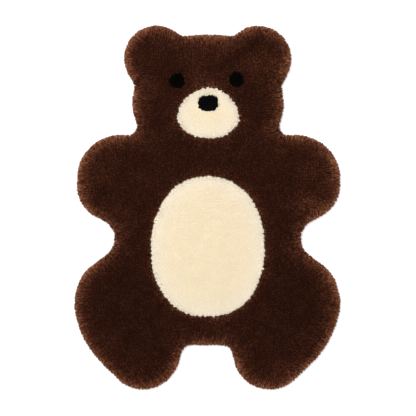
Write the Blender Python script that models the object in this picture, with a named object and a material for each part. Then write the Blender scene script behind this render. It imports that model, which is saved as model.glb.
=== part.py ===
"""A kids' rug in the shape of a bear, cut from woolly shearling and lying flat.

The brown body is one skin with its wool standing on it.  A cream belly and a
cream muzzle, a black nose and two black eyes are let into holes in it, edge to
edge, and sewn on the hide side.  Units are metres.  The rug lies on z = 0 with
its head towards +Y, and the origin is under the middle of its bounding box.
"""

import math
from collections import namedtuple

import bmesh
import bpy
import numpy as np
from mathutils.geometry import delaunay_2d_cdt

# ---------------------------------------------------------------- sizes
PILE_HEIGHT = 0.030        # floor to the tips of the standing wool
LUMP_HEIGHT = 0.0016       # how far the pile swells and dips about that height
LUMP_SPACING = 0.022       # distance between the points that carry the lumps
SEAM_GAP = 0.0003          # air between two skins that are sewn edge to edge
LOCK_PITCH = 0.016         # mean width of one wool lock at the rim
LOCK_DEPTH = 0.003         # valley to tip of a rim lock, seen from above
LOCK_UNEVENNESS = 0.28     # share by which a lock's width and depth vary
INLAY_POINT_SPACING = 0.0125
INLAY_POINTS_LEAST = 24    # points on the edge of the smallest inlaid patch
ARC_STEP = 0.001           # fine step used while an arc is measured out

# ---------------------------------------------------------------- outline
# The outline is a belt pulled tight round discs.  A lobe is a disc inside the
# rug and a notch is a disc outside it; straight tangents join them.  This is
# the right half, clockwise from the crown of the head; the left half mirrors it.
Turn = namedtuple("Turn", "place kind x y radius")

HALF_OUTLINE = [
    Turn("crown", "lobe", 0.000, -0.028, 0.550),
    Turn("ear notch", "notch", 0.0745, 0.532, 0.014),
    Turn("ear", "lobe", 0.153, 0.450, 0.099),
    Turn("temple notch", "notch", 0.238, 0.366, 0.016),
    Turn("cheek", "lobe", 0.131, 0.311, 0.0975),
    Turn("neck", "notch", 0.244, 0.247, 0.029),
    Turn("arm", "lobe", 0.266, 0.088, 0.1305),
    Turn("hand", "lobe", 0.291, 0.0675, 0.106),
    Turn("waist", "notch", 0.3435, -0.094, 0.062),
    Turn("haunch", "lobe", 0.291, -0.258, 0.101),
    Turn("hip", "lobe", 0.264, -0.292, 0.137),
    Turn("shin", "lobe", 0.110, -0.262, 0.293),
    Turn("foot", "lobe", 0.191, -0.4385, 0.110),
    Turn("crotch corner", "notch", 0.048, -0.444, 0.029),
]

# A skin never lies quite straight: how far it leans towards +X at each height.
Sway = namedtuple("Sway", "y lean")

SWAY = [
    Sway(-0.550, -0.003),
    Sway(-0.300, 0.000),
    Sway(-0.090, 0.001),
    Sway(0.080, 0.004),
    Sway(0.560, 0.0005),
]

# How the wool rolls over the rim, from the hide up to the crown of the pile:
# distance in from the outline, height, and how much the locks show there.
RimLevel = namedtuple("RimLevel", "inset height lock_share")

RIM_LEVELS = [
    RimLevel(0.010, 0.000, 0.0),
    RimLevel(0.000, 0.009, 1.0),
    RimLevel(0.005, 0.020, 0.8),
    RimLevel(0.014, 0.0265, 0.4),
]

# One rim lock: how far along its width, and how far out as a share of its depth.
LockPoint = namedtuple("LockPoint", "along out")

LOCK_SHAPE = [
    LockPoint(0.00, -0.67),
    LockPoint(0.33, 0.13),
    LockPoint(0.67, 0.33),
]

# How the pile rises from a seam, on both sides of it.
SeamLevel = namedtuple("SeamLevel", "inset height")

SEAM_LEVELS = [
    SeamLevel(0.000, 0.0000),
    SeamLevel(0.000, 0.0255),
    SeamLevel(0.004, 0.0290),
]

# ---------------------------------------------------------------- inlaid patches
# Each patch is a rounded oval about its widest line: half width, reach upwards
# and downwards, and the power that makes it squarer than an ellipse (2.0).
Oval = namedtuple("Oval", "x y half_width reach_up reach_down square_up square_down")

BELLY = Oval(0.0015, -0.1195, 0.172, 0.2155, 0.2095, 2.13, 2.25)
MUZZLE = Oval(0.0035, 0.2695, 0.0935, 0.0905, 0.0645, 1.95, 1.95)
NOSE = Oval(0.0020, 0.3135, 0.0305, 0.0245, 0.0245, 2.50, 2.50)
EYE_LEFT = Oval(-0.0915, 0.3825, 0.0213, 0.0225, 0.0225, 2.10, 2.20)
EYE_RIGHT = Oval(0.0870, 0.3850, 0.0208, 0.0210, 0.0210, 2.10, 2.10)

# ---------------------------------------------------------------- materials
Wool = namedtuple("Wool", "name red green blue")

BROWN_WOOL = Wool("brown_wool", 0.030, 0.010, 0.006)
CREAM_WOOL = Wool("cream_wool", 0.870, 0.760, 0.580)
BLACK_WOOL = Wool("black_wool", 0.004, 0.004, 0.004)
WOOL_ROUGHNESS = 0.95


# ---------------------------------------------------------------- outlines
def whole_outline(half):
    """The half table followed by its mirror image, so that the turns close."""
    mirrored = [turn._replace(x=-turn.x) for turn in reversed(half) if turn.x]
    return half + mirrored


def belt(turns):
    """Points and outward normals, clockwise, of a belt pulled round the turns.

    A tangent between two discs leaves both in the direction of one normal, so
    on each disc the normal turns from the angle of the tangent before it to
    that of the tangent after it, and the belt is the centre plus the radius
    along the normal on a lobe, or minus it on a notch.
    """
    centres = np.array([(turn.x, turn.y) for turn in turns])
    side = np.array([1.0 if turn.kind == "lobe" else -1.0 for turn in turns])
    reach = side * np.array([turn.radius for turn in turns])
    across = np.roll(centres, -1, axis=0) - centres
    tilt = np.arcsin((reach - np.roll(reach, -1)) / np.hypot(*across.T))
    leaving = np.arctan2(across[:, 1], across[:, 0]) - tilt + math.pi / 2
    arriving = np.roll(leaving, 1)

    points = []
    normals = []
    for centre, hand, out, start, end in zip(centres, side, reach, arriving, leaving):
        sweep = (hand * (start - end)) % math.tau
        count = 2 + int(abs(out) * sweep / ARC_STEP)
        angles = start - hand * np.linspace(0.0, sweep, count)
        normal = np.column_stack((np.cos(angles), np.sin(angles)))
        points.append(centre + out * normal)
        normals.append(normal)
    return np.vstack(points), np.vstack(normals)


def walk_round(points):
    """Length walked along a closed row of points, up to each and back home."""
    steps = np.diff(np.vstack((points, points[:1])), axis=0)
    return np.concatenate(([0.0], np.cumsum(np.hypot(*steps.T))))


def at_lengths(points, normals, lengths):
    """Points and normals of a closed outline at the given walked lengths."""
    walked = walk_round(points)
    closed = np.vstack((np.hstack((points, normals)), np.append(points[0], normals[0])))
    found = np.column_stack([np.interp(lengths, walked, column) for column in closed.T])
    normal = found[:, 2:] / np.hypot(*found[:, 2:].T)[:, None]
    return found[:, :2], normal


def leaned(points):
    """The points after the rug has been laid down with its slight sway."""
    moved = points.copy()
    moved[:, 0] += np.interp(points[:, 1], [row.y for row in SWAY], [row.lean for row in SWAY])
    return moved


def lock_rhythm(length):
    """Where each rim lock starts, and its depth as a share of the mean one."""
    number = np.arange(round(length / LOCK_PITCH))
    width = 1.0 + LOCK_UNEVENNESS * np.sin(2.4 * number) * np.cos(0.37 * number)
    starts = np.concatenate(([0.0], np.cumsum(width)))
    depth = 1.0 + LOCK_UNEVENNESS * np.sin(1.7 * number + 1.0)
    return starts * (length / starts[-1]), depth


def rim_rings(turns):
    """The rings of points up the rim, scalloped into locks, from hide to crown."""
    points, normals = belt(turns)
    starts, depth = lock_rhythm(walk_round(points)[-1])
    lengths = []
    outs = []
    for lock in LOCK_SHAPE:
        lengths.append(starts[:-1] + lock.along * np.diff(starts))
        outs.append(lock.out * LOCK_DEPTH * depth)
    lengths = np.column_stack(lengths).ravel()
    outs = np.column_stack(outs).ravel()
    points, normals = at_lengths(points, normals, lengths)

    rings = []
    for level in RIM_LEVELS:
        out = outs * level.lock_share - level.inset
        flat = leaned(points + normals * out[:, None])
        rings.append(np.column_stack((flat, np.full(len(flat), level.height))))
    return rings


def oval_outline(oval):
    """Points, clockwise, of a rounded oval: a circle's sine and cosine, each
    raised to two over the squareness and stretched to the oval's reaches."""
    round_the_edge = math.pi * (oval.half_width + (oval.reach_up + oval.reach_down) / 2)
    count = max(INLAY_POINTS_LEAST, 8 * round(round_the_edge / INLAY_POINT_SPACING / 8))
    angle = -np.arange(count) * math.tau / count
    upper = np.sin(angle) >= 0.0
    power = 2.0 / np.where(upper, oval.square_up, oval.square_down)
    reach = np.where(upper, oval.reach_up, oval.reach_down)
    x = oval.half_width * np.sign(np.cos(angle)) * np.abs(np.cos(angle)) ** power
    y = reach * np.sign(np.sin(angle)) * np.abs(np.sin(angle)) ** power
    even = np.column_stack((oval.x + x, oval.y + y))
    walked = walk_round(even)
    lengths = np.arange(count) * walked[-1] / count
    closed = np.vstack((even, even[:1]))
    return np.column_stack([np.interp(lengths, walked, column) for column in closed.T])


def moved_out(points, distance):
    """A closed clockwise row of points, moved outwards by a distance."""
    along = np.roll(points, -1, axis=0) - np.roll(points, 1, axis=0)
    outward = np.column_stack((-along[:, 1], along[:, 0]))
    return points + distance * outward / np.hypot(*along.T)[:, None]


def seam_rings(oval, out, side):
    """Rings up from the floor along a patch's edge, moved out by a distance.

    The pile rises away from the seam: inwards on the patch itself (side -1),
    and outwards on the skin round it (side +1).
    """
    edge = oval_outline(oval)
    rings = []
    for level in SEAM_LEVELS:
        flat = moved_out(edge, out + side * level.inset)
        rings.append(np.column_stack((flat, np.full(len(flat), level.height))))
    return rings


# ---------------------------------------------------------------- pile surface
def pile_height(x, y):
    """Height of the lumpy pile: three slow crossed waves about its mean height."""
    broad = np.sin(x / 0.0151 + 1.3 * np.sin(y / 0.031))
    cross = np.sin(y / 0.0127 + 1.1 * np.sin(x / 0.027) + 0.8)
    slant = np.sin((x + 0.7 * y) / 0.0219 + 2.0)
    return PILE_HEIGHT + LUMP_HEIGHT * (broad + cross + slant) / 3.0


def inside(points, loop):
    """Whether each point lies inside a closed loop, by counting its crossings."""
    x, y = points[:, :1], points[:, 1:2]
    ax, ay = loop[:, 0], loop[:, 1]
    bx, by = np.roll(ax, -1), np.roll(ay, -1)
    straddles = (ay > y) != (by > y)
    rise = np.where(by == ay, 1.0, by - ay)
    crosses = straddles & (x < ax + (y - ay) * (bx - ax) / rise)
    return crosses.sum(axis=1) % 2 == 1


def lump_points(outer, holes):
    """Points of a staggered lattice between the loops, lifted to the pile's height."""
    low, high = outer.min(axis=0), outer.max(axis=0)
    row_height = LUMP_SPACING * math.sqrt(3.0) / 2.0
    row, column = np.mgrid[0:int((high[1] - low[1]) / row_height) + 1,
                           0:int((high[0] - low[0]) / LUMP_SPACING) + 1]
    x = low[0] + (column + 0.5 * (row % 2)) * LUMP_SPACING
    y = low[1] + row * row_height
    points = np.column_stack((x.ravel(), y.ravel()))
    keep = inside(points, outer)
    for loop in [outer] + holes:
        gap = np.hypot(points[:, :1] - loop[:, 0], points[:, 1:2] - loop[:, 1]).min(axis=1)
        keep &= gap > 0.6 * LUMP_SPACING
    for loop in holes:
        keep &= ~inside(points, loop)
    points = points[keep]
    return np.column_stack((points, pile_height(points[:, 0], points[:, 1])))


# ---------------------------------------------------------------- solids
def add_ring(bm, ring):
    """The vertices of one closed ring of points."""
    return [bm.verts.new(point) for point in ring]


def add_wall(bm, rings):
    """Quads between each ring of vertices and the next."""
    for lower, upper in zip(rings, rings[1:]):
        for here in range(len(lower)):
            after = (here + 1) % len(lower)
            bm.faces.new((lower[here], lower[after], upper[after], upper[here]))


def add_cover(bm, outer, holes, loose):
    """Triangles between an outer ring and the holes in it, through loose points."""
    rings = [outer] + holes
    verts = [vert for ring in rings for vert in ring] + loose
    ring_of = [number for number, ring in enumerate(rings) for _ in ring] + [None] * len(loose)
    edges = []
    for ring in rings:
        first = len(edges)
        edges += [(first + here, first + (here + 1) % len(ring)) for here in range(len(ring))]
    flat = [vert.co.xy for vert in verts]
    _, _, faces, origins, _, _ = delaunay_2d_cdt(flat, edges, [], 1, 1e-7)
    for face in faces:
        corners = [origins[corner][0] for corner in face]
        touched = {ring_of[corner] for corner in corners}
        fills_a_hole = len(touched) == 1 and touched <= set(range(1, len(rings)))
        if not fills_a_hole:
            bm.faces.new([verts[corner] for corner in corners])


def add_skin(name, rim, hole_walls, material, collection):
    """One closed solid: a flat hide underneath, the rim, the lumpy pile on top
    and the walls of the holes that go right through it."""
    bm = bmesh.new()
    rim_verts = [add_ring(bm, ring) for ring in rim]
    add_wall(bm, rim_verts)
    wall_verts = [[add_ring(bm, ring) for ring in wall] for wall in hole_walls]
    for wall in wall_verts:
        add_wall(bm, wall)
    lumps = lump_points(rim[-1][:, :2], [wall[-1][:, :2] for wall in hole_walls])
    loose = [bm.verts.new(point) for point in lumps]
    add_cover(bm, rim_verts[0], [wall[0] for wall in wall_verts], [])
    add_cover(bm, rim_verts[-1], [wall[-1] for wall in wall_verts], loose)
    bmesh.ops.recalc_face_normals(bm, faces=bm.faces)

    mesh = bpy.data.meshes.new(name)
    bm.to_mesh(mesh)
    bm.free()
    mesh.materials.append(material)
    mesh.shade_smooth()
    mesh.set_sharp_from_angle(angle=math.radians(50.0))
    skin = bpy.data.objects.new(name, mesh)
    collection.objects.link(skin)
    return skin


def wool_material(wool):
    """A rough, plain wool of one colour."""
    material = bpy.data.materials.new(wool.name)
    material.use_nodes = True
    shader = material.node_tree.nodes["Principled BSDF"]
    shader.inputs["Base Color"].default_value = (wool.red, wool.green, wool.blue, 1.0)
    shader.inputs["Roughness"].default_value = WOOL_ROUGHNESS
    shader.inputs["Metallic"].default_value = 0.0
    return material


def centre_on_origin(skins):
    """Moves the meshes so that the origin lies under the middle of their box."""
    corners = np.array([vert.co for skin in skins for vert in skin.data.vertices])
    middle = (corners.min(axis=0) + corners.max(axis=0)) / 2.0
    for skin in skins:
        for vert in skin.data.vertices:
            vert.co.x -= middle[0]
            vert.co.y -= middle[1]


def main():
    for old in list(bpy.data.objects):
        bpy.data.objects.remove(old, do_unlink=True)
    rug = bpy.data.collections.new("bear_rug")
    bpy.context.scene.collection.children.link(rug)

    brown = wool_material(BROWN_WOOL)
    cream = wool_material(CREAM_WOOL)
    black = wool_material(BLACK_WOOL)

    let_into_body = [BELLY, MUZZLE, EYE_LEFT, EYE_RIGHT]
    body_holes = [seam_rings(patch, SEAM_GAP, 1) for patch in let_into_body]
    skins = [
        add_skin("body", rim_rings(whole_outline(HALF_OUTLINE)), body_holes, brown, rug),
        add_skin("belly", seam_rings(BELLY, 0.0, -1), [], cream, rug),
        add_skin("muzzle", seam_rings(MUZZLE, 0.0, -1), [seam_rings(NOSE, SEAM_GAP, 1)], cream, rug),
        add_skin("nose", seam_rings(NOSE, 0.0, -1), [], black, rug),
        add_skin("eye_left", seam_rings(EYE_LEFT, 0.0, -1), [], black, rug),
        add_skin("eye_right", seam_rings(EYE_RIGHT, 0.0, -1), [], black, rug),
    ]
    centre_on_origin(skins)


main()
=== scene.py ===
"""The looks of a bear shaped kids' rug, inlaid from dyed shearling.

Shearling is a sheep's skin with its wool left on and shorn to one length.  So each
skin here is a thin suede hide, a bed of dense wool on it, and the ends of the locks
that stand out of the bed.  In the middle the locks stand up and lean together into
curls; at the rim, where nothing holds them up, they fan out and roll over the edge.
The pieces lie edge to edge and are overcast on the hide side.

All lengths are metres.  The floor is z = 0, and the head is towards +Y.
"""
import math
from collections import namedtuple

import bpy
import numpy as np
from mathutils.geometry import delaunay_2d_cdt
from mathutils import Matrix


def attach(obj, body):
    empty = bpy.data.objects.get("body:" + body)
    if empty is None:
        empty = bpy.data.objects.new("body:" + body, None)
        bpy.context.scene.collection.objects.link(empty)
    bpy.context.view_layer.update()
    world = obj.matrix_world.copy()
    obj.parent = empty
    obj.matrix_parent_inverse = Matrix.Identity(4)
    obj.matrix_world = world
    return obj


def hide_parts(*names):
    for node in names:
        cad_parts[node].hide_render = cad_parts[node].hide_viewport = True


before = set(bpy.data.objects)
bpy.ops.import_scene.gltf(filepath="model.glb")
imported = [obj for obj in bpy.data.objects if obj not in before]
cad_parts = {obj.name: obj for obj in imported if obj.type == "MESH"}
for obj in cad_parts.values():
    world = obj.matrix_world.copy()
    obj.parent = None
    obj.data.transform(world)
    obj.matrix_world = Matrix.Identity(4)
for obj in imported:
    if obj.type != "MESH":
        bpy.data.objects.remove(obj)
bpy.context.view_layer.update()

MM = 0.001

# ==== sizes of the rug
PILE_HEIGHT = 30.0 * MM        # floor to the tips of the standing wool
LUMP_HEIGHT = 1.6 * MM         # how far the pile swells and dips about that height
HIDE_LIFT = 0.8 * MM           # the overcast thread holds the hide off the floor
HIDE_THICKNESS = 1.4 * MM
HIDE_TOP = HIDE_LIFT + HIDE_THICKNESS
BED_DEPTH = 5.5 * MM           # how far the bed lies below the tips of the locks
BED_TOP = PILE_HEIGHT - BED_DEPTH
BED_GRAIN = 8.0 * MM           # between the points that carry the bed's lumps
BED_SHAKE = 0.12               # share of it by which they are out of line
BED_CLEAR_RIM = 32.0 * MM      # how near they come to the body's edge
BED_CLEAR_EDGE = 1.4 * BED_GRAIN       # to the edge of a smaller skin
BED_CLEAR_PATCH = 0.8 * BED_GRAIN      # and to a patch that is let in
EDGE_STEP = 3.0 * MM           # between the points of an edge
OVAL_POINTS = 720
SLICE = 2000                   # points that are looked up at once

TUFT_ROOT = 7.0 * MM           # how far below the pile's height a tuft starts
TUFT_SHAKE = 0.30              # share of their spacing by which tufts are out of line
TUFT_WIDTHS = (0.85, 1.15)     # the thinnest and thickest, about their mean
TUFT_BOW = -0.25               # share of its lean by which a tuft's middle bows
CURL_SPACING = 8.0 * MM        # between the curls that the tufts lean together into
CURL_ROOM = (0.1, 0.9)         # where in its cell the middle of a curl may be
CURL_PULL = 0.38               # share of the way to its curl's middle that a tip leans
TIP_SHAKE = 0.7 * MM
LOCK_TONES = (-3.0, 0.8, 1.5)  # the darkest, commonest and lightest lock, about the mean
EVEN_TONE = 0.5                # of undisturbed wool, from 0 to 1 up its ramp of colours

EDGE_LOCK_WIDTH = 3.2 * MM     # along the edge, for each lock of a row
EDGE_LOCK_SHIFT = 0.4          # share of that width by which a lock is out of line
EDGE_LOCK_RADIUS = 2.2 * MM
EDGE_LOCK_RADII = (0.8, 1.15)  # the thinnest and thickest, about that radius
EDGE_LOCK_BOW = 1.6 * MM       # how far the middle of a lock is bowed up
EDGE_LOCK_LEVELS = (0.0, 0.35, 0.8)
EDGE_TIP_SHAKE = 0.6 * TIP_SHAKE       # in and out
EDGE_HEIGHT_SHAKE = 0.6 * MM
STRAND_WIDTH = 4.0 * MM        # of the strands that the wool is combed into near an edge
STRAND_LENGTH = 14.0 * MM
STRAND_ROWS = 64               # more than lie between any two edges
STRAND_TONES = 0.6             # how far their tones spread, as a share of the locks'
STRAND_STRAY = 0.3             # share of a strand's width by which its locks stray
FAN_REACH = 15.0 * MM          # the stretch of edge over which wool fans out or crowds
FAN_SHARE = 0.35
FAN_LIMITS = (-1.0, 0.5)

STITCH_PITCH = 5.0 * MM        # of the overcast seam on the hide side
STITCH_REACH = 2.3 * MM        # from the seam to where the thread enters the hide
STITCH_SLANT = 0.45
STITCH_RINGS = 7
THREAD_RADIUS = 0.4 * MM
THREAD_SIDES = 6
SEED = 20

# Standing tufts: how far apart they are, half their width at the root, and where from
# root (0) to tip (1) they have a ring of points.
Tufts = namedtuple("Tufts", "spacing width levels")

FINE_TUFTS = Tufts(2.3 * MM, 1.7 * MM, (0.0,))
FULL_TUFTS = Tufts(3.0 * MM, 2.5 * MM, (0.0, 0.6))

# ==== outline of the body
# A belt pulled tight round discs, with straight tangents between them: a lobe is a disc
# inside the rug, a notch one outside it.  Right half, clockwise from the crown.
Turn = namedtuple("Turn", "place kind x y radius")

HALF_OUTLINE = [
    Turn("crown", "lobe", 0.000, -0.028, 0.550),
    Turn("ear notch", "notch", 0.0745, 0.532, 0.014),
    Turn("ear", "lobe", 0.153, 0.450, 0.099),
    Turn("temple notch", "notch", 0.238, 0.366, 0.016),
    Turn("cheek", "lobe", 0.131, 0.311, 0.0975),
    Turn("neck", "notch", 0.244, 0.247, 0.029),
    Turn("arm", "lobe", 0.266, 0.088, 0.1305),
    Turn("hand", "lobe", 0.291, 0.0675, 0.106),
    Turn("waist", "notch", 0.3435, -0.094, 0.062),
    Turn("haunch", "lobe", 0.291, -0.258, 0.101),
    Turn("hip", "lobe", 0.264, -0.292, 0.137),
    Turn("shin", "lobe", 0.110, -0.262, 0.293),
    Turn("foot", "lobe", 0.191, -0.4385, 0.110),
    Turn("crotch corner", "notch", 0.048, -0.444, 0.029),
]
BELT_STEP = 1.0 * MM

# How far the skin leans towards +X as it lies: y, lean.
SWAY = [(-0.550, -0.003), (-0.300, 0.000), (-0.090, 0.001), (0.080, 0.004), (0.560, 0.0005)]

# The locks at an edge gather into scallops: mean width, depth seen from above, the share
# by which both vary, the share of the way to its scallop's tip that a lock leans, how
# far the locks wander in and out, and how far out they spread in all.
Scallops = namedtuple("Scallops", "pitch depth unevenness clumping wander spread")

RIM_SCALLOPS = Scallops(11.0 * MM, 1.8 * MM, 0.45, 0.15, 0.9 * MM, 0.0)
SEAM_SCALLOPS = Scallops(14.0 * MM, 3.4 * MM, 0.55, 0.20, 1.7 * MM, 0.3 * MM)
NOSE_SCALLOPS = Scallops(16.0 * MM, 4.2 * MM, 0.55, 0.20, 1.7 * MM, 0.9 * MM)
EYE_SCALLOPS = Scallops(16.0 * MM, 3.8 * MM, 0.50, 0.20, 1.5 * MM, 2.0 * MM)
SOLID_SCALLOPS = Scallops(16.0 * MM, 3.0 * MM, 0.28, 0.0, 0.0, 0.0)    # of the plain solids
WANDER_STEPS = (7.0 * MM, 18.0 * MM)
WANDER_SPREAD = 0.6

# One scallop: how far along its width, how far out as a share of its depth.
SCALLOP = [(0.00, -0.67), (0.33, 0.13), (0.67, 0.33), (1.00, -0.67)]
SCALLOP_TIP = 0.67

# ==== inlaid patches
# Middle, half width, reach up and down, and the powers that make it squarer than an
# ellipse.
Oval = namedtuple("Oval", "x y half_width reach_up reach_down square_up square_down")

BELLY = Oval(0.0015, -0.1195, 0.172, 0.2155, 0.2095, 2.13, 2.25)
MUZZLE = Oval(0.0035, 0.2695, 0.0935, 0.0905, 0.0645, 1.95, 1.95)
NOSE = Oval(0.0020, 0.3135, 0.0305, 0.0245, 0.0245, 2.50, 2.50)
EYE_LEFT = Oval(-0.0915, 0.3825, 0.0213, 0.0225, 0.0225, 2.10, 2.20)
EYE_RIGHT = Oval(0.0870, 0.3850, 0.0208, 0.0210, 0.0210, 2.10, 2.10)

# ==== how a skin is built up
def by_mm(*rows):
    """A table of lengths in millimetres, but for its last column, which is kept."""
    return [(*[length * MM for length in row[:-1]], row[-1]) for row in rows]


# A row of locks round an edge: where roots and tips are, in from the edge and up from
# the floor, and how much of the scallops the tips take up.
EdgeRow = namedtuple("EdgeRow", "root_inset root_height tip_inset tip_height scallop")

RIM_ROWS = by_mm(
    (13.0, 3.5, 0.0, 3.0, 0.8),
    (11.0, 6.0, -2.2, 7.0, 1.0),
    (11.0, 10.0, -2.0, 12.5, 1.0),
    (13.0, 14.0, 1.0, 18.5, 0.8),
    (17.5, 17.0, 5.5, 23.6, 0.5),
    (23.0, 20.0, 12.5, 27.2, 0.3),
    (30.0, 22.0, 21.0, 29.2, 0.1),
)
RIM_ROW_COUNT = 10
SEAM_ROWS = by_mm(
    (4.5, 16.0, 2.2, 25.0, 1.0),
    (5.5, 20.0, 2.2, 27.5, 1.0),
    (8.0, 22.0, 4.5, 28.8, 0.9),
    (11.0, 22.0, 8.5, 29.4, 0.6),
)
SEAM_ROW_COUNT = 5

# How a bed or hide ends at an edge: distance in from the edge, height.
Level = namedtuple("Level", "inset height")

RIM_BED = [
    Level(12.0 * MM, HIDE_TOP),
    Level(5.5 * MM, 7.0 * MM),
    Level(7.5 * MM, 15.0 * MM),
    Level(14.0 * MM, 21.0 * MM),
    Level(25.0 * MM, BED_TOP),
]
PATCH_BED = [
    Level(0.0, HIDE_TOP),
    Level(3.0 * MM, 12.0 * MM),
    Level(7.0 * MM, BED_TOP - 1.0 * MM),
]
HOLE_BED = [                   # round a patch that is let in
    Level(0.0, HIDE_TOP),
    Level(0.0, BED_TOP - 1.5 * MM),
    Level(3.0 * MM, BED_TOP - 1.0 * MM),
]
RIM_HIDE = [Level(11.5 * MM, HIDE_LIFT), Level(11.0 * MM, HIDE_TOP)]
SEAM_HIDE = [Level(0.0, HIDE_LIFT), Level(0.0, HIDE_TOP)]

# How the standing wool ends at an edge: how near the roots come, how far the outermost
# tips lean out, and the distance over which that lean fades.
Verge = namedtuple("Verge", "clear lean fade")

RIM_VERGE = Verge(22.0 * MM, 9.0 * MM, 30.0 * MM)
SEAM_VERGE = Verge(2.4 * MM, 0.4 * MM, 6.0 * MM)
PATCH_CLEAR = 1.2 * MM         # the same beside a patch, which it leans over
PATCH_LEAN = -3.8 * MM
PATCH_FADE = 3.5 * MM

# ==== painted light and shade, and the lie of the wool
# By the depth from an edge: how much further up its ramp of colours the wool is.  All of
# it is painted light and shade: a painted highlight on the brown, lighter towards the
# rim; on the cream a painted paleness towards the edge and painted shade, greyer, at the
# very edge; on the eyes painted shade, darker than the nose.
RIM_PAINTED_HIGHLIGHT = by_mm((3.0, 0.30), (8.0, 0.25), (13.0, 0.18), (18.0, 0.135), (24.0, 0.095),
                   (32.0, 0.06), (42.0, 0.03), (60.0, 0.005), (80.0, 0.00))
CREAM_PAINTED_EDGE_LIGHT_AND_SHADE = by_mm((1.0, 0.50), (5.0, 0.43), (10.0, 0.37), (22.0, 0.29), (35.0, 0.18),
                     (54.0, 0.06), (80.0, 0.00))
NOSE_SHADES = by_mm((0.0, 0.00))
EYE_PAINTED_SHADE = by_mm((0.0, -0.30))

# The same beside a patch of cream, which lights the wool next to it.
BESIDE_PATCH = by_mm((0.5, 0.46), (3.0, 0.27), (5.0, 0.18), (10.0, 0.105), (17.0, 0.053),
                     (28.0, 0.013), (40.0, 0.00))

# How much the wool is combed into strands.
COMBED = by_mm((0.0, 0.20), (8.0, 0.50), (18.0, 0.85), (45.0, 0.75), (90.0, 0.25),
               (150.0, 0.00))

# Where the wool is lighter or darker: centre, reach and how much; and where it parts: a
# line from which the locks lean away to both sides, with painted shade along it.
Shade = namedtuple("Shade", "place x y reach_x reach_y lighten")
Parting = namedtuple("Parting", "place x0 y0 x1 y1 reach darken")
Marks = namedtuple("Marks", "shades partings")

BODY_MARKS = Marks([
    Shade("right ear, low", 0.182, 0.424, 0.050, 0.035, 0.16),
    Shade("right neck", 0.190, 0.226, 0.030, 0.030, 0.09),
    Shade("forehead", 0.000, 0.460, 0.120, 0.070, 0.05),
    Shade("between the eyes", 0.000, 0.375, 0.110, 0.025, 0.06),
    Shade("right arm, high", 0.335, 0.110, 0.050, 0.035, 0.14),
    Shade("right arm, low", 0.300, 0.020, 0.045, 0.035, 0.20),
    Shade("left arm", -0.310, 0.100, 0.080, 0.080, 0.03),
    Shade("right haunch", 0.355, -0.250, 0.030, 0.070, 0.08),
    Shade("right sole", 0.227, -0.490, 0.050, 0.030, 0.07),
    Shade("left thigh", -0.263, -0.280, 0.090, 0.120, -0.05),
    Shade("right thigh", 0.250, -0.300, 0.070, 0.090, -0.05),
], [
    Parting("left brow", -0.127, 0.490, -0.082, 0.424, 16.0 * MM, 0.04),
    Parting("right brow", 0.142, 0.502, 0.048, 0.433, 16.0 * MM, 0.04),
    Parting("right temple", 0.232, 0.368, 0.205, 0.392, 6.0 * MM, 0.10),
    Parting("left temple", -0.230, 0.368, -0.205, 0.388, 6.0 * MM, 0.10),
    Parting("under the muzzle", -0.006, 0.200, -0.006, 0.167, 7.0 * MM, 0.06),
])
NO_MARKS = Marks([], [])
PARTING_LEAN = 2.0 * MM


# ==== edges
# A closed clockwise edge: points, outward normals, and the length walked to each point
# and back home, which names a place on it.
Edge = namedtuple("Edge", "points normals walked")


def read_off(rows, places):
    """Values at places in between the rows of a table of two columns: place, value."""
    return np.interp(places, *zip(*rows))


def unit(vectors):
    """Flat vectors, each brought to length 1."""
    return vectors / np.hypot(*vectors.T)[:, None]


def to_right(vectors):
    """Flat vectors, each turned a quarter to the right."""
    return np.column_stack((vectors[:, 1], -vectors[:, 0]))


def walk_round(points):
    """Length walked round a closed row of points, up to each and back home."""
    steps = np.diff(np.vstack((points, points[:1])), axis=0)
    return np.concatenate(([0.0], np.cumsum(np.hypot(*steps.T))))


def at(edge, along):
    """Points and unit normals of an edge at places along it."""
    table = np.hstack((edge.points, edge.normals))
    table = np.vstack((table, table[:1]))
    along = along % edge.walked[-1]
    found = np.column_stack([np.interp(along, edge.walked, column) for column in table.T])
    return found[:, :2], unit(found[:, 2:])


def evenly(edge, step):
    """The same edge with its points about one step apart."""
    along = np.linspace(0.0, edge.walked[-1], round(edge.walked[-1] / step), endpoint=False)
    points, normals = at(edge, along)
    return Edge(points, normals, np.append(along, edge.walked[-1]))


def body_outline():
    """The edge of the body: a belt pulled tight round the turns, then swayed.

    A tangent leaves both its discs along one normal.  On a disc the normal turns from
    the tangent before it to the one after it, and the belt is the centre plus the
    radius along the normal on a lobe, or minus it on a notch.
    """
    mirrored = [turn._replace(x=-turn.x) for turn in reversed(HALF_OUTLINE) if turn.x]
    turns = HALF_OUTLINE + mirrored
    centres = np.array([(turn.x, turn.y) for turn in turns])
    side = np.array([1.0 if turn.kind == "lobe" else -1.0 for turn in turns])
    reach = side * np.array([turn.radius for turn in turns])
    across = np.roll(centres, -1, axis=0) - centres
    tilt = np.arcsin((reach - np.roll(reach, -1)) / np.hypot(*across.T))
    leaving = np.arctan2(across[:, 1], across[:, 0]) - tilt + math.pi / 2
    arriving = np.roll(leaving, 1)
    points = []
    normals = []
    for centre, hand, out, start, end in zip(centres, side, reach, arriving, leaving):
        sweep = (hand * (start - end)) % math.tau
        angles = start - hand * np.linspace(0.0, sweep, 2 + int(abs(out) * sweep / BELT_STEP))
        normal = np.column_stack((np.cos(angles), np.sin(angles)))
        points.append(centre + out * normal)
        normals.append(normal)
    points = np.vstack(points)
    walked = walk_round(points)
    points[:, 0] += read_off(SWAY, points[:, 1])
    return Edge(points, np.vstack(normals), walked)


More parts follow.
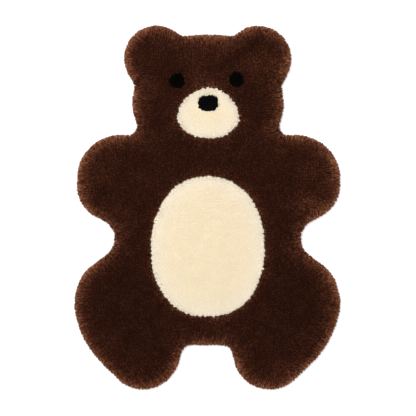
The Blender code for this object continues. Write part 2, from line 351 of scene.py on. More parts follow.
def oval_outline(oval):
    """The edge of a patch: a circle's sine and cosine, raised to two over the
    squareness and stretched to the oval's reaches, walked clockwise."""
    angle = -np.linspace(0.0, math.tau, OVAL_POINTS, endpoint=False)
    upper = np.sin(angle) >= 0.0
    power = 2.0 / np.where(upper, oval.square_up, oval.square_down)
    reach = np.where(upper, oval.reach_up, oval.reach_down)
    x = oval.x + oval.half_width * np.sign(np.cos(angle)) * np.abs(np.cos(angle)) ** power
    y = oval.y + reach * np.sign(np.sin(angle)) * np.abs(np.sin(angle)) ** power
    points = np.column_stack((x, y))
    return Edge(points, outward(points), walk_round(points))


def outward(points):
    """Unit normals of a closed clockwise row of points: each chord turned left."""
    return unit(to_right(np.roll(points, 1, axis=0) - np.roll(points, -1, axis=0)))


def scallop_at(edge, scallops, along):
    """How far out the scallops reach at places along an edge, and how far along it the
    tip of the scallop is."""
    number = np.arange(round(edge.walked[-1] / scallops.pitch))
    wide = 1.0 + scallops.unevenness * np.sin(2.4 * number) * np.cos(0.37 * number)
    deep = 1.0 + scallops.unevenness * np.sin(1.7 * number + 1.0)
    starts = np.concatenate(([0.0], np.cumsum(wide)))
    starts *= edge.walked[-1] / starts[-1]
    along = along % edge.walked[-1]
    own = np.clip(np.searchsorted(starts, along, side="right") - 1, 0, len(number) - 1)
    width = np.diff(starts)[own]
    share = (along - starts[own]) / width
    out = read_off(SCALLOP, share) * scallops.depth * deep[own]
    return out, (SCALLOP_TIP - share) * width


def fanned(edge):
    """How far wool fans out at each point of an edge, 1 where it is straight: on a lobe
    the normals a reach before and after stand apart, in a notch they lean together."""
    along = edge.walked[:-1]
    before, normal_before = at(edge, along - FAN_REACH)
    after, normal_after = at(edge, along + FAN_REACH)
    chord = after - before
    spread = ((normal_after - normal_before) * chord).sum(axis=1) / np.hypot(*chord.T)
    return 1.0 + FAN_SHARE * np.clip(spread, *FAN_LIMITS)


def depth_from(edge, points):
    """How deep points lie inside an edge, negative outside it, which point of the edge
    is nearest, and the place along the edge."""
    nearest = np.empty(len(points), int)
    for first in range(0, len(points), SLICE):
        part = slice(first, first + SLICE)
        squared = ((points[part, None] - edge.points) ** 2).sum(axis=2)
        nearest[part] = squared.argmin(axis=1)
    step = points - edge.points[nearest]
    normal = edge.normals[nearest]
    along = edge.walked[nearest] + step[:, 0] * normal[:, 1] - step[:, 1] * normal[:, 0]
    return -(step * normal).sum(axis=1), nearest, along


# ==== the pile's surface
def pile_height(points):
    """Height of the lumpy pile: three slow crossed waves about its mean height."""
    x, y = points[:, 0], points[:, 1]
    broad = np.sin(x / 0.0151 + 1.3 * np.sin(y / 0.031))
    cross = np.sin(y / 0.0127 + 1.1 * np.sin(x / 0.027) + 0.8)
    slant = np.sin((x + 0.7 * y) / 0.0219 + 2.0)
    return PILE_HEIGHT + LUMP_HEIGHT * (broad + cross + slant) / 3.0


def stroked(points):
    """Which way the wool lies over, as if stroked: two slow bent waves for each
    direction, from -1 to 1."""
    x, y = points[:, 0], points[:, 1]
    lean_x = np.sin(y / 0.021 + 1.7 * np.sin(x / 0.034)) + np.sin((x - 0.6 * y) / 0.027 + 1.0)
    lean_y = np.cos(x / 0.024 + 1.4 * np.sin(y / 0.029)) + np.sin((x + y) / 0.031 + 2.2)
    return 0.5 * np.column_stack((lean_x, lean_y))


def clouded(points):
    """How unevenly the dye took, from -1 to 1: the mean of three slow bent waves."""
    x, y = points[:, 0], points[:, 1]
    first = np.sin(x / 0.0135 + 2.1 * np.sin(y / 0.023 + 0.4) + 1.1)
    second = np.sin(y / 0.0112 + 1.9 * np.sin(x / 0.019 + 2.0))
    third = np.sin((x - y) / 0.0171 + 1.5 * np.sin((x + y) / 0.026))
    return (first + second + third) / 3.0


def curls(points, rng):
    """For each point, the step to the middle of its curl, and the curl's own number from
    0 to 1.  Each cell of a square grid has one middle, and a point's own is the nearest
    in its cell and the eight round it."""
    cell = np.floor(points / CURL_SPACING).astype(int)
    low = cell.min(axis=0) - 1
    size = cell.max(axis=0) - low + 2
    shake = rng.uniform(*CURL_ROOM, (*size, 2))
    number = rng.random(size)
    shortest = np.full(len(points), np.inf)
    step = np.zeros_like(points)
    own = np.zeros(len(points))
    for offset in np.ndindex(3, 3):
        near = cell + offset - 1
        row, column = (near - low).T
        to_middle = (near + shake[row, column]) * CURL_SPACING - points
        distance = np.hypot(*to_middle.T)
        closer = distance < shortest
        shortest[closer] = distance[closer]
        step[closer] = to_middle[closer]
        own[closer] = number[row, column][closer]
    return step, own


def strands(along, whole, depth, rng):
    """Tone of the strands that the wool is combed into, mostly from -1 to 1: one for
    each strand's width along an edge and each strand's length in from it, where every
    row of strands starts at a depth of its own."""
    table = np.random.default_rng(SEED)
    across = round(whole / STRAND_WIDTH)
    start = table.random(across)
    tones = STRAND_TONES * table.triangular(*LOCK_TONES, (across, STRAND_ROWS))
    stray = STRAND_STRAY * rng.normal(0.0, 1.0, len(along))
    column = (along / whole * across + stray).astype(int) % across
    row = (np.maximum(depth, 0.0) / STRAND_LENGTH + start[column]).astype(int)
    return tones[column, np.minimum(row, STRAND_ROWS - 1)]


def ragged(edge, scallops, along):
    """How far out the wool stands at places along an edge: its spread, its scallops, and
    its wander times two random lines, one with short steps, one with long."""
    whole = edge.walked[-1]
    rng = np.random.default_rng(SEED)
    out = np.zeros(len(along))
    for step in WANDER_STEPS:
        values = rng.normal(0.0, WANDER_SPREAD, round(whole / step))
        values -= values.mean()
        places = np.linspace(0.0, whole, len(values) + 1)
        out += np.interp(along % whole, places, np.append(values, values[0]))
    return scallops.spread + scallops.wander * out + scallop_at(edge, scallops, along)[0]


def marked(points, marks):
    """How much lighter the marks make the wool: a soft round bump for each shade, and a
    soft dark line of painted shade for each parting."""
    lighten = np.zeros(len(points))
    for shade in marks.shades:
        away = (points - (shade.x, shade.y)) / (shade.reach_x, shade.reach_y)
        lighten += shade.lighten * np.exp(-(away ** 2).sum(axis=1))
    for parting in marks.partings:
        away = from_parting(parting, points)
        lighten -= parting.darken * np.exp(-(away ** 2).sum(axis=1) / parting.reach ** 2)
    return lighten


def from_parting(parting, points):
    """The shortest step from a parting's line to each point."""
    start = np.array((parting.x0, parting.y0))
    run = np.array((parting.x1, parting.y1)) - start
    share = np.clip((points - start) @ run / (run @ run), 0.0, 1.0)
    return points - start - share[:, None] * run


def parted(points, marks):
    """How far the wool leans away from the partings, most of all close beside them."""
    lean = np.zeros_like(points)
    for parting in marks.partings:
        away = from_parting(parting, points)
        distance = np.hypot(*away.T)[:, None] / parting.reach
        lean += PARTING_LEAN * away / parting.reach * np.exp(0.5 - 0.5 * distance ** 2)
    return lean


# ==== meshes
Mesh = namedtuple("Mesh", "points triangles uv")

LOCK_TAPER = 0.38              # the power by which a lock narrows towards its tip
TONE_WIDTH = 0.006             # half the width of one lock in the UV map
CAP_HEIGHT = 0.03              # how high the cap at a lock's root stands in the UV map
UV_MARGIN = 0.01               # that the UV map keeps to its sides
STEEP = 0.7                    # the rise, as a share of its length, of a steep lock
CDT_INSIDE = 1                 # for delaunay_2d_cdt: triangles inside the rings only
CDT_NEAREST = 1e-7             # and points nearer than this become one


def add_object(name, data):
    """A new object of the scene."""
    made = bpy.data.objects.new(name, data)
    bpy.context.scene.collection.objects.link(made)
    return made


def add_mesh(name, made, material):
    """A piece from a mesh of arrays, moved so that the rug is centred on the origin."""
    placed = made.points - (*middle_of_rug, 0.0)
    mesh = bpy.data.meshes.new(name)
    mesh.vertices.add(len(placed))
    mesh.vertices.foreach_set("co", placed.astype(np.float32).ravel())
    mesh.loops.add(made.triangles.size)
    mesh.loops.foreach_set("vertex_index", made.triangles.astype(np.int32).ravel())
    mesh.polygons.add(len(made.triangles))
    mesh.polygons.foreach_set("loop_start", np.arange(0, made.triangles.size, 3, dtype=np.int32))
    mesh.update(calc_edges=True)
    if made.uv is not None:
        layer = mesh.uv_layers.new(name="OFBake")
        layer.data.foreach_set("uv", made.uv.astype(np.float32).ravel())
    mesh.shade_smooth()
    mesh.materials.append(material)
    return add_object(name, mesh)


def tube(sides, rings, pointed):
    """Triangles of a closed tube: a cap over its first ring of points, its walls, and
    at its end either the tip, which is the last point, or another cap."""
    low = np.arange(sides)
    first = np.zeros(sides - 2, int)
    faces = [np.column_stack((first, low[2:], low[1:-1]))]
    for _ in range(rings - 1):
        high = low + sides
        after = np.roll(low, -1)
        above = np.roll(high, -1)
        faces.append(np.column_stack((low, after, above)))
        faces.append(np.column_stack((low, above, high)))
        low = high
    if pointed:
        tip = np.full(sides, low[-1] + 1)
        faces.append(np.column_stack((low, np.roll(low, -1), tip)))
    else:
        faces.append(np.column_stack((low[0] + first, low[1:-1], low[2:])))
    return np.vstack(faces)


def copies(faces, count, size):
    """The same triangles for each of many shapes of one size in points."""
    return (faces + (np.arange(count) * size)[:, None, None]).reshape(-1, 3)


def locks(roots, tips, bow, width, tone, rng, levels):
    """Many wool locks, each a closed three-sided spike.

    Its middle line is a quadratic curve from root to tip, whose control point is their
    middle plus the bow.  At each level along it stands a triangle, which shrinks with a
    power of what is left to go.  In the UV map u is the lock's tone, and v runs from
    root to tip.
    """
    count = len(roots)
    rings = len(levels)
    share = np.append(levels, 1.0)[None, :, None]
    start = roots[:, None]
    bend = ((roots + tips) / 2.0 + bow)[:, None]
    end = tips[:, None]
    line = (1 - share) ** 2 * start + 2 * share * (1 - share) * bend + share ** 2 * end
    along = (1 - share) * (bend - start) + share * (end - bend)
    along /= np.linalg.norm(along, axis=2, keepdims=True)
    whole = np.linalg.norm(tips - roots, axis=1, keepdims=True)
    steep = np.abs(tips - roots)[:, 2:] > STEEP * whole
    aside = np.where(steep, (1.0, 0.0, 0.0), (0.0, 0.0, 1.0))[:, None]
    first = np.cross(along, aside)
    first /= np.linalg.norm(first, axis=2, keepdims=True)
    second = np.cross(along, first)

    angle = rng.uniform(0.0, math.tau, (count, 1, 1)) + math.tau / 3 * np.arange(3)
    radius = width[:, None, None] * (1.0 - np.array(levels))[None, :, None] ** LOCK_TAPER
    across = (radius * np.cos(angle))[..., None] * first[:, :-1, None]
    across += (radius * np.sin(angle))[..., None] * second[:, :-1, None]
    ring = (line[:, :-1, None] + across).reshape(count, 3 * rings, 3)
    points = np.concatenate((ring, line[:, -1:]), axis=1)

    faces = tube(3, rings, True)
    corner_u = np.append(np.tile((-TONE_WIDTH, 0.0, TONE_WIDTH), rings), 0.0)[faces]
    corner_v = np.append(np.repeat(levels, 3), 1.0)[faces]
    corner_v[0, 1] = CAP_HEIGHT
    u = np.clip(tone, UV_MARGIN, 1.0 - UV_MARGIN)[:, None, None] + corner_u
    v = np.broadcast_to(UV_MARGIN + (1.0 - 2.0 * UV_MARGIN) * corner_v, u.shape)
    uv = np.stack((u, v), axis=3).reshape(-1, 2)
    return Mesh(points.reshape(-1, 3), copies(faces, count, 3 * rings + 1), uv)


def rings_at(edge, levels, side):
    """One ring of points for each level: the edge moved in (side -1) or out (side 1)
    along its normals by the level's inset, at the level's height."""
    rings = []
    for level in levels:
        flat = edge.points + side * level.inset * edge.normals
        rings.append(np.column_stack((flat, np.full(len(flat), level.height))))
    return rings


def slab(stacks, loose):
    """A closed slab: the first stack of rings is its rim, the others are the walls of
    its holes, and a cover closes it below and above, there through the loose points."""
    points = np.vstack([ring for stack in stacks for ring in stack] + [loose])
    triangles = []
    lowest = []
    highest = []
    first = 0
    for number, stack in enumerate(stacks):
        low = first + np.arange(len(stack[0]))
        lowest.append(low)
        for _ in stack[1:]:
            high = low + len(low)
            after = np.roll(low, -1)
            above = np.roll(high, -1)
            wall = np.vstack((np.column_stack((low, high, above)),
                              np.column_stack((low, above, after))))
            triangles.append(wall if number == 0 else wall[:, ::-1])
            low = high
        highest.append(low)
        first = low[-1] + 1
    inner = np.arange(first, len(points))
    triangles.append(cover(points, lowest, inner[:0])[:, ::-1])
    triangles.append(cover(points, highest, inner))
    return Mesh(points, np.vstack(triangles), None)


def cover(points, rings, inner):
    """Triangles, facing up, between the first ring and the others, which are holes."""
    groups = rings + [inner]
    index = np.concatenate(groups)
    ring_of = np.repeat(np.arange(len(groups)), [len(group) for group in groups])
    edges = []
    for ring in rings:
        here = len(edges) + np.arange(len(ring))
        edges += np.column_stack((here, np.roll(here, -1))).tolist()
    flat = [tuple(point) for point in points[index, :2].tolist()]
    _, _, faces, origins, _, _ = delaunay_2d_cdt(flat, edges, [], CDT_INSIDE, CDT_NEAREST)
    faces = np.array([origin[0] for origin in origins])[np.array(faces)]
    owner = ring_of[faces]
    one_ring = (owner == owner[:, :1]).all(axis=1)
    in_hole = one_ring & (owner[:, 0] > 0) & (owner[:, 0] < len(rings))
    faces = index[faces[~in_hole]]
    a, b, c = (points[faces[:, corner], :2] for corner in range(3))
    turned = (b - a)[:, 0] * (c - a)[:, 1] < (b - a)[:, 1] * (c - a)[:, 0]
    faces[turned] = faces[turned][:, ::-1]
    return faces


# ==== skins
# A patch let into a skin: its edge, its scallops, and how much it lights the wool beside.
Patch = namedtuple("Patch", "edge scallops glow")

# Where points lie in a skin: depth from its edge, place along it, its normal, and how
# far wool fans out and stands out there; distance from the nearest patch, how far its
# wool stands out, the normal out of it, and its glow.
Place = namedtuple("Place", "depth along normal fan out seam bay away glow")


class Skin:
    """A skin's own area: inside its edge, and outside the patches let into it."""

    def __init__(self, node, fleece, edge, scallops, shades, marks):
        self.node = node
        self.fleece = fleece
        self.edge = edge
        self.scallops = scallops
        self.fine = evenly(edge, EDGE_STEP)
        self.fan = fanned(self.fine)
        held = [all_patches[name] for name in LET_INTO.get(node, ())]
        self.patches = [patch._replace(edge=evenly(patch.edge, EDGE_STEP)) for patch in held]
        self.shades = shades
        self.marks = marks

    def place(self, points):
        """Where points lie between the skin's edge and its patches."""
        depth, nearest, along = depth_from(self.fine, points)
        out = ragged(self.fine, self.scallops, along)
        seam = np.full(len(points), np.inf)
        bay = np.zeros(len(points))
        away = np.zeros_like(points)
        glow = np.zeros(len(points))
        for patch in self.patches:
            inside, beside, patch_along = depth_from(patch.edge, points)
            nearer = -inside < seam
            seam[nearer] = -inside[nearer]
            bay[nearer] = ragged(patch.edge, patch.scallops, patch_along[nearer])
            away[nearer] = patch.edge.normals[beside[nearer]]
            glow[nearer] = patch.glow
        return Place(depth, along, self.fine.normals[nearest], self.fan[nearest], out,
                     seam, bay, away, glow)

    def lattice(self, spacing, rng, shake):
        """Points of a staggered lattice over the skin's box, each shaken by a share of
        the spacing, and where they lie in the skin."""
        low = self.fine.points.min(axis=0)
        width, length = np.ptp(self.fine.points, axis=0)
        row_height = spacing * math.sqrt(3.0) / 2.0
        row, column = np.mgrid[0:int(length / row_height) + 2, 0:int(width / spacing) + 2]
        x = low[0] + (column + 0.5 * (row % 2)) * spacing
        y = low[1] + row * row_height
        points = np.column_stack((x.ravel(), y.ravel()))
        points += rng.uniform(-shake, shake, points.shape) * spacing
        return points, self.place(points)

    def tone(self, points, place):
        """Tone of the wool before its curls and strands: an even dye, with light and shade
        painted on by depth, scaled by how the wool fans out, painted light beside a bright
        patch, and the marks."""
        painted_light_by_depth = place.fan * read_off(self.shades, place.depth)
        beside = place.glow * read_off(BESIDE_PATCH, place.seam)
        return EVEN_TONE + painted_light_by_depth + beside + marked(points, self.marks)

    def slab(self, edge_levels, patch_levels, loose=np.zeros((0, 3))):
        """A closed slab over the area, ending at the edge and the patches by levels."""
        stacks = [rings_at(self.fine, edge_levels, -1)]
        stacks += [rings_at(patch.edge, patch_levels, 1) for patch in self.patches]
        return slab(stacks, loose)


def bed(skin, edge_levels, clear_edge):
    """The bed of wool: a slab whose top follows the pile's lumps, a bed's depth lower."""
    points, place = skin.lattice(BED_GRAIN, np.random.default_rng(SEED), BED_SHAKE)
    points = points[(place.depth > clear_edge) & (place.seam > BED_CLEAR_PATCH)]
    loose = np.column_stack((points, pile_height(points) - BED_DEPTH))
    return skin.slab(edge_levels, HOLE_BED, loose)


# Wool locks: where each starts and ends, how its middle bows, its width and its tone.
Wool = namedtuple("Wool", "roots tips bow width tone")


def only(keep, table):
    """The rows to keep of a Place or of some Wool."""
    return table._make([column[keep] for column in table])


def standing_wool(skin, verge, rng):
    """Tufts that stand up and lean together into curls.

    A tip leans over with the stroking, the partings, the edge and the patches, and a
    share of the step to the middle of its curl.  It stands at the pile's height less a
    drop that grows with the square of that step, which makes a dome of each curl.
    """
    fleece = skin.fleece
    points, place = skin.lattice(fleece.tufts.spacing, rng, TUFT_SHAKE)
    place = place._replace(depth=place.depth + place.out, seam=place.seam - place.bay)
    keep = (place.depth > verge.clear) & (place.seam > PATCH_CLEAR)
    points = points[keep]
    place = only(keep, place)

    to_curl, own = curls(points, rng)
    by_rim = np.exp((verge.clear - place.depth) / verge.fade)
    by_patch = np.exp(-place.seam / PATCH_FADE)
    lean = fleece.stroke * stroked(points) + CURL_PULL * to_curl + parted(points, skin.marks)
    lean += verge.lean * by_rim[:, None] * place.normal
    lean += PATCH_LEAN * by_patch[:, None] * place.away
    lean += rng.normal(0.0, TIP_SHAKE, lean.shape)
    drop = fleece.curl_dome * (to_curl ** 2).sum(axis=1) / (0.5 * CURL_SPACING) ** 2
    drop += fleece.patch_drop * by_patch
    height = pile_height(points + lean) - drop + rng.normal(0.0, fleece.ragged, len(points))
    roots = np.column_stack((points, pile_height(points) - TUFT_ROOT))
    tips = np.column_stack((points + lean, height))

    place = place._replace(depth=place.depth - (lean * place.normal).sum(axis=1))
    combed = read_off(COMBED, place.depth)
    tone = skin.tone(points, place) + fleece.cloud_tone * clouded(points)
    tone += fleece.curl_tone * (own - 0.5) * (1.0 - 0.5 * combed)
    strand = strands(place.along, skin.fine.walked[-1], place.depth, rng)
    tone += fleece.strand_tone * combed * strand
    tone += fleece.lock_tone * rng.triangular(*LOCK_TONES, len(points))
    width = fleece.tufts.width * rng.uniform(*TUFT_WIDTHS, len(points))
    bow = np.column_stack((TUFT_BOW * lean, np.zeros(len(points))))
    return Wool(roots, tips, bow, width, tone)


def edge_wool(skin, rows, row_count, rng):
    """Rows of locks round an edge, which gather into its scallops.

    Root and tip are read from between the rows of the table.  The tip is moved along by
    a share of the way to its scallop's tip, out by how ragged the edge is there, and up
    or down with the lumps of the pile.  A scallop is lightest at its tip, a painted
    highlight where its locks stand out furthest.
    """
    fleece = skin.fleece
    scallops = skin.scallops
    whole = skin.edge.walked[-1]
    per_row = round(whole / EDGE_LOCK_WIDTH)
    row, number = np.mgrid[0:row_count, 0:per_row].reshape(2, -1)
    count = len(row)
    share = (row + rng.random(count)) / row_count * (len(rows) - 1)
    own = EdgeRow(*[np.interp(share, np.arange(len(rows)), column) for column in zip(*rows)])
    shift = rng.uniform(-EDGE_LOCK_SHIFT, EDGE_LOCK_SHIFT, count)
    along = (number + 0.5 * (row % 2) + shift) * whole / per_row
    out = ragged(skin.edge, scallops, along)
    to_tip = scallop_at(skin.edge, scallops, along)[1]
    root_at, root_normal = at(skin.edge, along)
    tip_along = along + scallops.clumping * to_tip + rng.normal(0.0, TIP_SHAKE, count)
    tip_at, tip_normal = at(skin.edge, tip_along)
    inset = own.tip_inset - own.scallop * out + rng.normal(0.0, EDGE_TIP_SHAKE, count)
    roots = np.column_stack((root_at - own.root_inset[:, None] * root_normal, own.root_height))
    tips = tip_at - inset[:, None] * tip_normal
    height = own.tip_height * pile_height(tips) / PILE_HEIGHT
    height += rng.normal(0.0, EDGE_HEIGHT_SHAKE, count)
    tips = np.column_stack((tips, height))

    tone = skin.tone(tips[:, :2], skin.place(tips[:, :2]))
    tone += fleece.cloud_tone * clouded(tips[:, :2])
    combed = read_off(COMBED, inset)
    tone += fleece.strand_tone * combed * strands(along, whole, inset, rng)
    lock = fleece.lock_tone * rng.triangular(*LOCK_TONES, count)
    tone += fleece.tip_tone * out / scallops.depth + lock
    width = EDGE_LOCK_RADIUS * rng.uniform(*EDGE_LOCK_RADII, count)
    bow = np.broadcast_to((0.0, 0.0, EDGE_LOCK_BOW), (count, 3))
    return Wool(roots, tips, bow, width, tone)


def overcast(edge):
    """Sewing thread over a seam on the hide side: each stitch slants across the seam and
    dips below the hide as half an ellipse."""
    count = round(edge.walked[-1] / STITCH_PITCH)
    points, normals = at(edge, np.arange(count) * edge.walked[-1] / count)
    across = normals + STITCH_SLANT * to_right(normals)
    share = np.linspace(-1.0, 1.0, STITCH_RINGS)
    line = np.empty((count, STITCH_RINGS, 3))
    line[..., :2] = points[:, None] + STITCH_REACH * share[:, None] * across[:, None]
    line[..., 2] = HIDE_LIFT + THREAD_RADIUS - HIDE_LIFT * np.sqrt(1.0 - share ** 2)
    angle = math.tau / THREAD_SIDES * np.arange(THREAD_SIDES)
    ring = np.zeros((count, STITCH_RINGS, THREAD_SIDES, 3))
    ring[..., :2] = np.cos(angle)[:, None] * unit(to_right(across))[:, None, None]
    ring[..., 2] = np.sin(angle)
    ring = line[:, :, None] + THREAD_RADIUS * ring
    faces = tube(THREAD_SIDES, STITCH_RINGS, False)
    return Mesh(ring.reshape(-1, 3), copies(faces, count, STITCH_RINGS * THREAD_SIDES), None)


# ==== materials
def linear(value):
    """One sRGB channel from 0 to 1 as linear light."""
    return value / 12.92 if value <= 0.04045 else ((value + 0.055) / 1.055) ** 2.4


def colour(hex_code):
    """A linear RGBA colour from an sRGB hex code such as "3a1d13"."""
    return (*[linear(int(hex_code[i:i + 2], 16) / 255.0) for i in (0, 2, 4)], 1.0)


def node(tree, kind, settings=None, **inputs):
    """Adds a node, sets its properties, and sets or links its inputs by name, or by
    number where the name is in_ and a number."""
    made = tree.nodes.new(kind)
    for key, value in (settings or {}).items():
        setattr(made, key, value)
    for key, value in inputs.items():
        socket = made.inputs[int(key[3:]) if key.startswith("in_") else key]
        if isinstance(value, bpy.types.NodeSocket):
            tree.links.new(value, socket)
        else:
            socket.default_value = value
    return made


def ramp(tree, factor, stops):
    """The colour output of a ramp through stops of place and colour."""
    made = node(tree, "ShaderNodeValToRGB", in_0=factor)
    while len(made.color_ramp.elements) < len(stops):
        made.color_ramp.elements.new(0.5)
    for element, (place, value) in zip(made.color_ramp.elements, stops):
        element.position = place
        element.color = value
    return made.outputs[0]


def surface(name, roughness, specular, sheen=0.0, sheen_tint="ffffff"):
    """A material with its Principled shader set to a rough, soft finish."""
    material = bpy.data.materials.new(name)
    material.use_nodes = True
    shader = material.node_tree.nodes["Principled BSDF"]
    settings = {"Roughness": roughness, "Specular IOR Level": specular, "Sheen Weight": sheen,
                "Sheen Roughness": 0.45, "Sheen Tint": colour(sheen_tint)}
    for key, value in settings.items():
        shader.inputs[key].default_value = value
    return material, material.node_tree, shader


def noise(tree, grain, detail):
    """Noise with lumps of the size of a grain, in the piece's own lengths."""
    place = node(tree, "ShaderNodeTexCoord").outputs["Object"]
    made = node(tree, "ShaderNodeTexNoise", Vector=place, Scale=1 / grain, Detail=detail)
    return made.outputs[0]


def mottle(tree, shader, factor, low, high):
    """Colours a shader by a factor, through two stops of place and hex code."""
    stops = [(place, colour(code)) for place, code in (low, high)]
    tree.links.new(ramp(tree, factor, stops), shader.inputs["Base Color"])


def roughen(tree, shader, height, strength, distance):
    """Bumps a shader's surface by a height."""
    bump = node(tree, "ShaderNodeBump", Height=height, Strength=strength, Distance=distance)
    tree.links.new(bump.outputs[0], shader.inputs["Normal"])


def wool_locks(name, tones, shades, sheen, sheen_tint):
    """Dyed sheep's wool, shorn and combed: matt, soft fibres that take the dye unevenly.
    Their colour is darkened from tip to root by a ramp of greys, painted shade deep in
    the pile."""
    material, tree, shader = surface(name, 0.95, 0.0, sheen, sheen_tint)
    place = node(tree, "ShaderNodeUVMap", {"uv_map": "OFBake"}).outputs[0]
    split = node(tree, "ShaderNodeSeparateXYZ", in_0=place)
    dye = ramp(tree, split.outputs[0], [(stop, colour(code)) for stop, code in tones])
    painted_root_shade = [(stop, (value, value, value, 1.0)) for stop, value in shades]
    mixed = node(tree, "ShaderNodeMix", {"data_type": "RGBA", "blend_type": "MULTIPLY"},
                 in_0=1.0, in_6=dye, in_7=ramp(tree, split.outputs[1], painted_root_shade))
    tree.links.new(mixed.outputs[2], shader.inputs["Base Color"])
    return material


def wool_bed(name, dark, light):
    """The dense under-wool between the locks, in two shades of the same dye: its fibres
    are 0.03 mm thick, drawn as a fuzz of 0.8 mm so that it shows.  Both shades are
    darker than the locks', painted shade deep in the pile."""
    material, tree, shader = surface(name, 0.95, 0.0)
    fuzz = noise(tree, 0.8 * MM, 3.0)
    mottle(tree, shader, fuzz, (0.30, dark), (0.72, light))
    roughen(tree, shader, fuzz, 0.6, 0.5 * MM)
    return material


def suede(name, dark, light):
    """The hide side of a shearling: drum dyed and buffed to a suede.  A short nap shows
    as a mottle of 6 mm where it has been stroked, over a grain of 0.5 mm fibres."""
    material, tree, shader = surface(name, 0.9, 0.3, 0.2)
    nap = noise(tree, 6 * MM, 4.0)
    grain = noise(tree, 0.5 * MM, 2.0)
    blend = node(tree, "ShaderNodeMix", {"data_type": "FLOAT"}, in_0=0.35, in_2=nap, in_3=grain)
    mottle(tree, shader, blend.outputs[0], (0.35, dark), (0.65, light))
    roughen(tree, shader, grain, 0.5, 0.2 * MM)
    return material


def linen_thread(name, dark, light):
    """Waxed linen sewing thread, twisted from plies 0.3 mm thick."""
    material, tree, shader = surface(name, 0.55, 0.5)
    mottle(tree, shader, noise(tree, 0.3 * MM, 1.0), (0.35, dark), (0.65, light))
    return material


def paper(name, hex_code):
    """Seamless white backdrop paper, uncoated, with a faint 2 mm cloudiness."""
    material, tree, shader = surface(name, 0.9, 0.2)
    mottle(tree, shader, noise(tree, 2 * MM, 2.0), (0.0, hex_code), (1.0, "ffffff"))
    return material


# A fleece: its slot name, its materials, its tufts, by how much its tone varies from
# place to place, curl to curl, strand to strand, lock to lock and towards the tip of a
# scallop, how far its curls drop at their sides, how far a stroking hand leans it, how
# unevenly long its locks are, and how far it drops beside a patch.
Fleece = namedtuple("Fleece", "slot locks bed suede tufts cloud_tone curl_tone strand_tone "
                              "lock_tone tip_tone curl_dome stroke ragged patch_drop")

# The tone towards the tip of a scallop is a painted highlight.
BROWN = Fleece(
    "brown_wool",
    wool_locks("brown_dyed_wool",
               [(0.0, "190b07"), (0.2, "24120c"), (0.4, "331b13"), (0.5, "3e2218"),
                (0.6, "4d291c"), (0.7, "603726"), (0.8, "77462f"), (0.9, "8f5c40"),
                (1.0, "a87458")],
               [(0.0, 0.50), (0.45, 0.78), (1.0, 1.07)], 0.05, "6b3a26"),
    wool_bed("brown_under_wool", "1a0b06", "2c140c"),
    suede("brown_suede", "5a3a2a", "6f4c39"),
    FINE_TUFTS, 0.02, 0.11, 0.10, 0.125, 0.02, 1.2 * MM, 3.0 * MM, 0.4 * MM, 1.8 * MM)
CREAM = Fleece(
    "cream_wool",
    wool_locks("cream_wool",
               [(0.0, "e2cb9c"), (0.5, "f2e6ce"), (0.8, "f2e9d8"), (0.9, "efe6d5"),
                (1.0, "dbcfbc")],
               [(0.0, 0.95), (1.0, 1.0)], 0.05, "fff4e0"),
    wool_bed("cream_under_wool", "e4d2ad", "f0e2c4"),
    suede("cream_suede", "d9c7a6", "e8dabf"),
    FULL_TUFTS, 0.03, 0.02, 0.0, 0.004, 0.0, 0.15 * MM, 0.6 * MM, 0.1 * MM, 0.5 * MM)
BLACK = Fleece(
    "black_wool",
    wool_locks("black_dyed_wool",
               [(0.0, "060606"), (0.5, "111010"), (1.0, "191817")],
               [(0.0, 0.6), (1.0, 1.0)], 0.0, "ffffff"),
    wool_bed("black_under_wool", "040404", "0b0a0a"),
    suede("black_suede", "191716", "262322"),
    FULL_TUFTS, 0.0, 0.10, 0.0, 0.10, 0.0, 0.8 * MM, 1.5 * MM, 0.4 * MM, 0.0)
seam_thread = linen_thread("waxed_linen_thread", "b9a684", "d8c8a8")

# ==== the rug
# A skin that is let into another: the node it stands for, its fleece, its shape, its
# scallops, how much it lights the wool beside it, and how its own wool shades by depth.
Inlay = namedtuple("Inlay", "node fleece oval scallops glow shades")

INLAYS = [
    Inlay("belly", CREAM, BELLY, SEAM_SCALLOPS, 1.0, CREAM_PAINTED_EDGE_LIGHT_AND_SHADE),
    Inlay("muzzle", CREAM, MUZZLE, SEAM_SCALLOPS, 1.0, CREAM_PAINTED_EDGE_LIGHT_AND_SHADE),
    Inlay("nose", BLACK, NOSE, NOSE_SCALLOPS, 0.0, NOSE_SHADES),
    Inlay("eye_left", BLACK, EYE_LEFT, EYE_SCALLOPS, -0.1, EYE_PAINTED_SHADE),
    Inlay("eye_right", BLACK, EYE_RIGHT, EYE_SCALLOPS, -0.1, EYE_PAINTED_SHADE),
]
LET_INTO = {"body": ("belly", "muzzle", "eye_left", "eye_right"), "muzzle": ("nose",)}

# The body's wool is made in three parts, by the height up the rug of the locks' roots.
BODY_PARTS = {"head": (0.205, 1.0), "trunk": (-0.235, 0.205), "legs": (-1.0, -0.235)}

all_patches = {row.node: Patch(oval_outline(row.oval), row.scallops, row.glow)
               for row in INLAYS}
body_edge = body_outline()
rim = evenly(body_edge, BELT_STEP)
rim_out = scallop_at(body_edge, SOLID_SCALLOPS, rim.walked[:-1])[0]
scalloped = rim.points + rim_out[:, None] * rim.normals
middle_of_rug = (scalloped.min(axis=0) + scalloped.max(axis=0)) / 2.0


def add_piece(skin, name, made, material):
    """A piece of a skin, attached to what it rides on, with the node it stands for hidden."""
    piece = add_mesh(name, made, material)
    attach(piece, "root")
    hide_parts(skin.node)
    return piece


def add_wool(skin, name, wool, levels, rng):
    """A piece of wool locks."""
    return add_piece(skin, name, locks(*wool, rng, levels), skin.fleece.locks)


def lay_hide(skin, levels):
    """The hide of a skin: a thin sheet of suede, cut to shape and laid flat."""
    made = skin.slab(levels, SEAM_HIDE)
    piece = add_piece(skin, f"{skin.node}_hide", made, skin.fleece.suede)


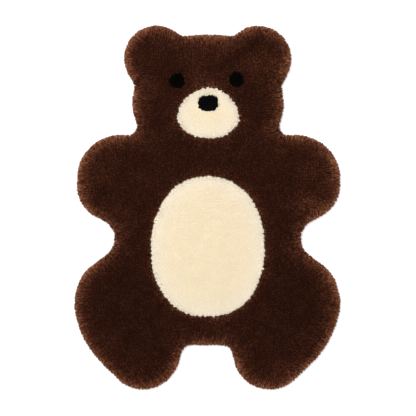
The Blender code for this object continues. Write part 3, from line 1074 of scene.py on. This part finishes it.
def add_body_wool(skin, kind, wool, levels, rng):
    """The body's wool of one kind, a piece for each part of the body."""
    pieces = []
    for part, (low, high) in BODY_PARTS.items():
        own = only((wool.roots[:, 1] > low) & (wool.roots[:, 1] <= high), wool)
        pieces.append(add_wool(skin, f"body_{part}_{kind}", own, levels, rng))
    return pieces


def make_body():
    """The brown skin of the body, with its standing wool and the wool at its rim."""
    rng = np.random.default_rng(SEED)
    skin = Skin("body", BROWN, body_edge, RIM_SCALLOPS, RIM_PAINTED_HIGHLIGHT, BODY_MARKS)
    standing = standing_wool(skin, RIM_VERGE, rng)
    pieces = add_body_wool(skin, "wool", standing, BROWN.tufts.levels, rng)
    around = edge_wool(skin, RIM_ROWS, RIM_ROW_COUNT, rng)
    pieces += add_body_wool(skin, "rim", around, EDGE_LOCK_LEVELS, rng)
    made = bed(skin, RIM_BED, BED_CLEAR_RIM)
    pieces.append(add_piece(skin, "body_bed", made, BROWN.bed))
    lay_hide(skin, RIM_HIDE)


def make_inlay(row):
    """A skin that is let into another, with wool that meets that skin's."""
    name = row.node
    rng = np.random.default_rng(SEED + len(name))
    skin = Skin(name, row.fleece, all_patches[name].edge, row.scallops, row.shades, NO_MARKS)
    standing = standing_wool(skin, SEAM_VERGE, rng)
    around = edge_wool(skin, SEAM_ROWS, SEAM_ROW_COUNT, rng)
    made = bed(skin, PATCH_BED, BED_CLEAR_EDGE)
    pieces = [
        add_wool(skin, f"{name}_wool", standing, row.fleece.tufts.levels, rng),
        add_wool(skin, f"{name}_edge_wool", around, EDGE_LOCK_LEVELS, rng),
        add_piece(skin, f"{name}_bed", made, row.fleece.bed),
    ]
    lay_hide(skin, SEAM_HIDE)


make_body()
for row in INLAYS:
    make_inlay(row)
for name, patch in all_patches.items():
    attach(add_mesh(f"{name}_seam", overcast(patch.edge), seam_thread), "root")

# ==== floor, light and camera
VIEW_WIDTH = 1.2567            # of the floor in the photograph
LENS = 85.0
SENSOR = 36.0
RIM_HEIGHT = 9.0 * MM          # where the outline is widest
VIEW_MIDDLE = (0.0020, -0.0016)

# A square sheet of backdrop paper.
sheet = bpy.data.meshes.new("floor")
corners = [(-2.0, -2.0, 0.0), (2.0, -2.0, 0.0), (2.0, 2.0, 0.0), (-2.0, 2.0, 0.0)]
sheet.from_pydata(corners, [], [(0, 1, 2, 3)])
sheet.materials.append(paper("backdrop_paper", "f4f4f4"))
add_object("floor", sheet)

# A square softbox that faces the rug and isn't seen itself.
softbox = bpy.data.lights.new("key", "AREA")
softbox.shape = "SQUARE"
softbox.size = 1.6
softbox.energy = 56.0
key = add_object("key", softbox)
key.location = (-0.9, 1.0, 2.8)
key.rotation_euler = key.location.to_track_quat("Z", "Y").to_euler()
key.visible_camera = False

# Even white light from all round, as in a white tent.
world = bpy.data.worlds.new("white_tent")
world.use_nodes = True
sky = world.node_tree.nodes["Background"].inputs
sky["Color"].default_value = colour("ffffff")
sky["Strength"].default_value = 1.25

# A camera straight above the rug.
view = bpy.data.cameras.new("camera")
view.lens = LENS
view.sensor_width = SENSOR
camera = add_object("camera", view)
camera.location = (*VIEW_MIDDLE, RIM_HEIGHT + VIEW_WIDTH * LENS / SENSOR)

scene = bpy.context.scene
scene.world = world
scene.camera = camera
scene.view_settings.view_transform = "Standard"
